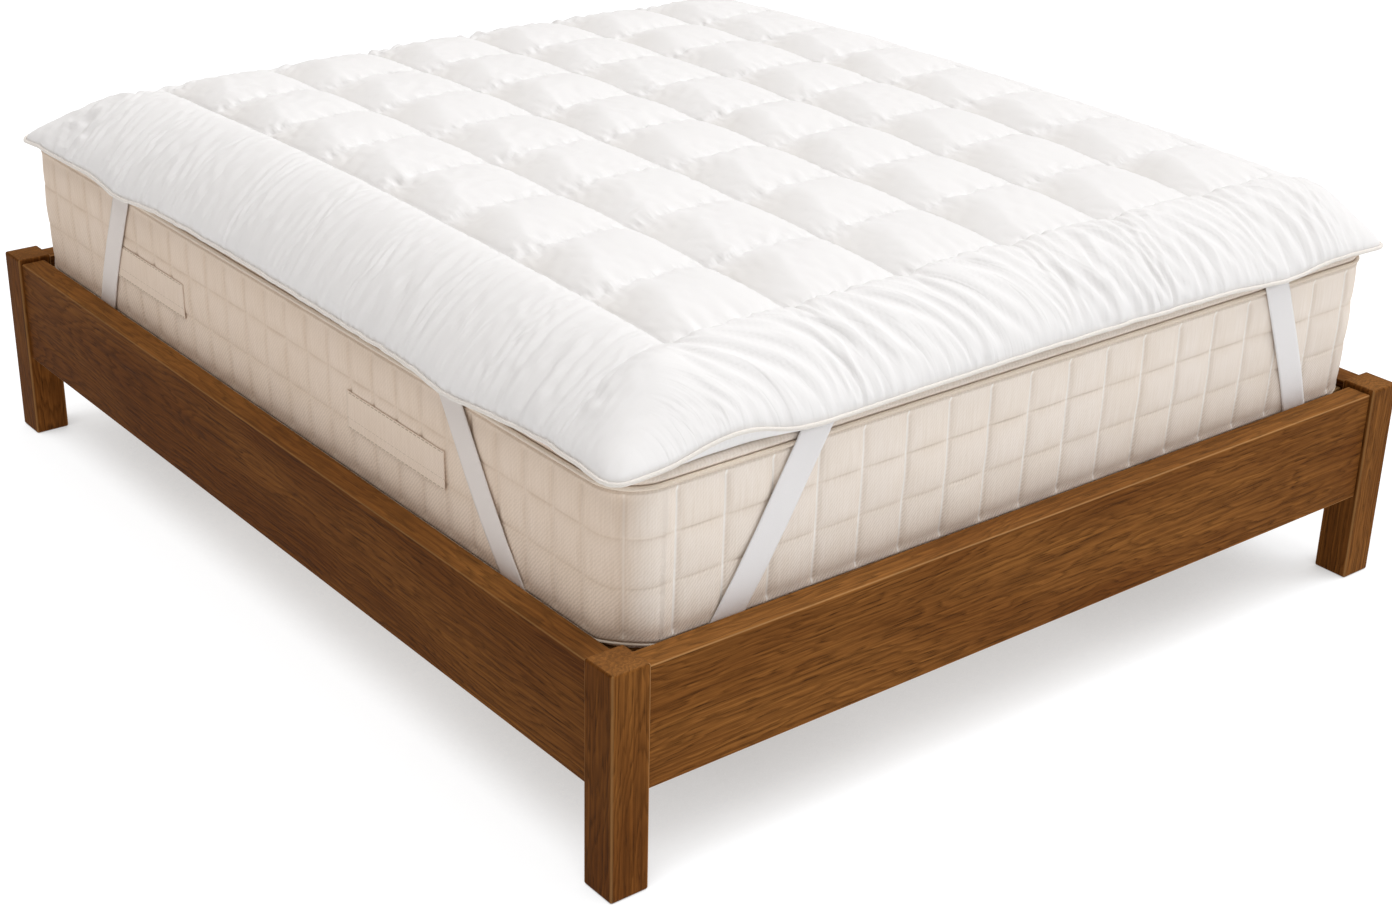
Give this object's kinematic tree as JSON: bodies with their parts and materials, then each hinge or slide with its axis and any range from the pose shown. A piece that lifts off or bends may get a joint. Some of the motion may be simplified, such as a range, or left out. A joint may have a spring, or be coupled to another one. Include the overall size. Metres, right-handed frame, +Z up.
{
  "type": "mattress topper on a mattress and wooden bed frame",
  "caption": "Box-quilted filled topper with piped edge and elastic corner bands, lying on a quilted mattress in a low wooden bed frame.",
  "frame": {"origin": "middle of the bed's outline, at the floor", "axes": "+X across the bed to the right seen from its foot, +Y along the bed to its head, +Z up"},
  "size_m": [1.7, 2, 0.7539],
  "materials": {
    "white_cotton": "matt",
    "white_elastic": "matt",
    "cream_ticking": "matt",
    "stained_oak": "satin",
    "plain_pine": "matt"
  },
  "bodies": {
    "root": {"band_foot_left": "white_elastic", "band_foot_right": "white_elastic", "band_head_left": "white_elastic", "band_head_right": "white_elastic", "centre_beam": "plain_pine", "handle_left_foot": "cream_ticking", "handle_left_head": "cream_ticking", "handle_right_foot": "cream_ticking", "handle_right_head": "cream_ticking", "ledger_left": "plain_pine", "ledger_right": "plain_pine", "mattress": "cream_ticking", "mattress_piping_bottom": "cream_ticking", "mattress_piping_top": "cream_ticking", "post_foot_left": "stained_oak", "post_foot_right": "stained_oak", "post_head_left": "stained_oak", "post_head_right": "stained_oak", "rail_foot": "stained_oak", "rail_head": "stained_oak", "rail_left": "stained_oak", "rail_right": "stained_oak", "slat_01": "plain_pine", "slat_02": "plain_pine", "slat_03": "plain_pine", "slat_04": "plain_pine", "slat_05": "plain_pine", "slat_06": "plain_pine", "slat_07": "plain_pine", "slat_08": "plain_pine", "slat_09": "plain_pine", "slat_10": "plain_pine", "slat_11": "plain_pine", "slat_12": "plain_pine", "topper": "white_cotton", "topper_piping": "white_cotton"}
  },
  "joints": []
}
